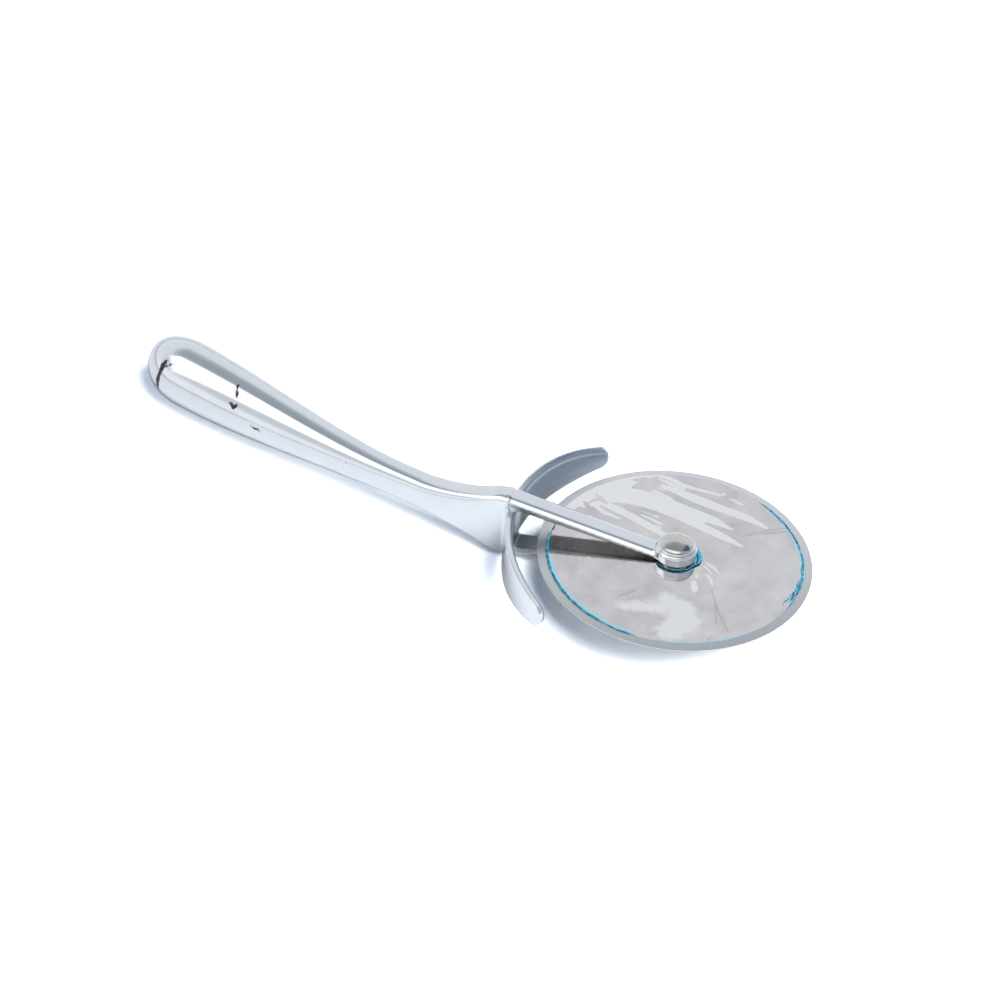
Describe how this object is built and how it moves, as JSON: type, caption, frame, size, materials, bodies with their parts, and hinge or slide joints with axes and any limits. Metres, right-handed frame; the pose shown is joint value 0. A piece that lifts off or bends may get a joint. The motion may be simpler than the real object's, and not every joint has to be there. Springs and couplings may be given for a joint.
{
  "type": "pastry cutter wheel",
  "caption": "Hand-held pastry cutter: bevelled round steel wheel riveted in the forked end of a bent one-piece cast handle with a curved finger guard.",
  "frame": {"origin": "hub centre: the axle's axis at the cutting wheel's mid-plane", "axes": "+Z along the axle towards the rivet's domed head, -X from the hub along the fork's centre line towards the handle, +Y towards the side the grip bends to"},
  "size_m": [0.2658, 0.1058, 0.0266],
  "materials": {
    "cast_alloy": "tumbled and polished cast aluminium, bluish grey with a satin shine",
    "blade_steel": "rolled stainless sheet with a finely ground bevel",
    "film": "thin clear protective film with a blue cut edge",
    "sleeve_steel": "drawn steel tube",
    "washer_steel": "stamped steel",
    "rivet_steel": "polished, slightly warm steel"
  },
  "bodies": {
    "handle": {"handle_casting": "cast_alloy", "spacer_sleeve": "sleeve_steel", "upper_thrust_washer": "washer_steel", "lower_thrust_washer": "washer_steel", "axle_rivet": "rivet_steel", "upper_head_washer": "washer_steel", "lower_tail_washer": "washer_steel"},
    "wheel": {"cutting_wheel": "blade_steel", "protective_film": "film"}
  },
  "joints": [
    {"name": "wheel_spin", "type": "hinge", "parent": "handle", "child": "wheel", "pos_m": [0, 0, 0], "axis": [0, 0, 1], "continuous": true}
  ]
}
